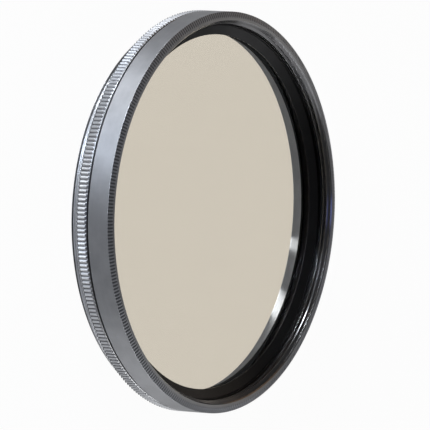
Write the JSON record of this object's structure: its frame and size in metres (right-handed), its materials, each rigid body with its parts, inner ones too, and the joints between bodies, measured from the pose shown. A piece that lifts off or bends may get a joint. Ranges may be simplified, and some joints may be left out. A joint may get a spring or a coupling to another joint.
{
  "type": "rotating polarising lens filter",
  "caption": "Slim round screw-in lens filter: threaded rear ring with a toothed grip, freely turning front ring with a finely toothed bevel, and a laminated polarising glass.",
  "frame": {"origin": "centre of the rear end, on the optical axis, in the plane that the filter lies on", "axes": "+Z along the optical axis, from the lens out to the front thread; X and Y are free"},
  "size_m": [0.061, 0.061, 0.008],
  "materials": {
    "ring_metal": "satin titanium-grey anodised",
    "black_metal": "matte black",
    "spring_steel": "bright spring steel",
    "optical_glass": "polished and coated",
    "polariser_film": "clear grey-brown film",
    "retarder_film": "clear film"
  },
  "bodies": {
    "lens_mount": {"rear_ring": "ring_metal", "snap_ring": "spring_steel"},
    "rotator": {"front_ring": "ring_metal", "rear_glass": "optical_glass", "quarter_wave_film": "retarder_film", "polarising_film": "polariser_film", "front_glass": "optical_glass", "retaining_ring": "black_metal"}
  },
  "joints": [
    {"name": "rotator_turn", "type": "hinge", "parent": "lens_mount", "child": "rotator", "pos_m": [0, 0, 0.004], "axis": [0, 0, 1], "continuous": true}
  ]
}
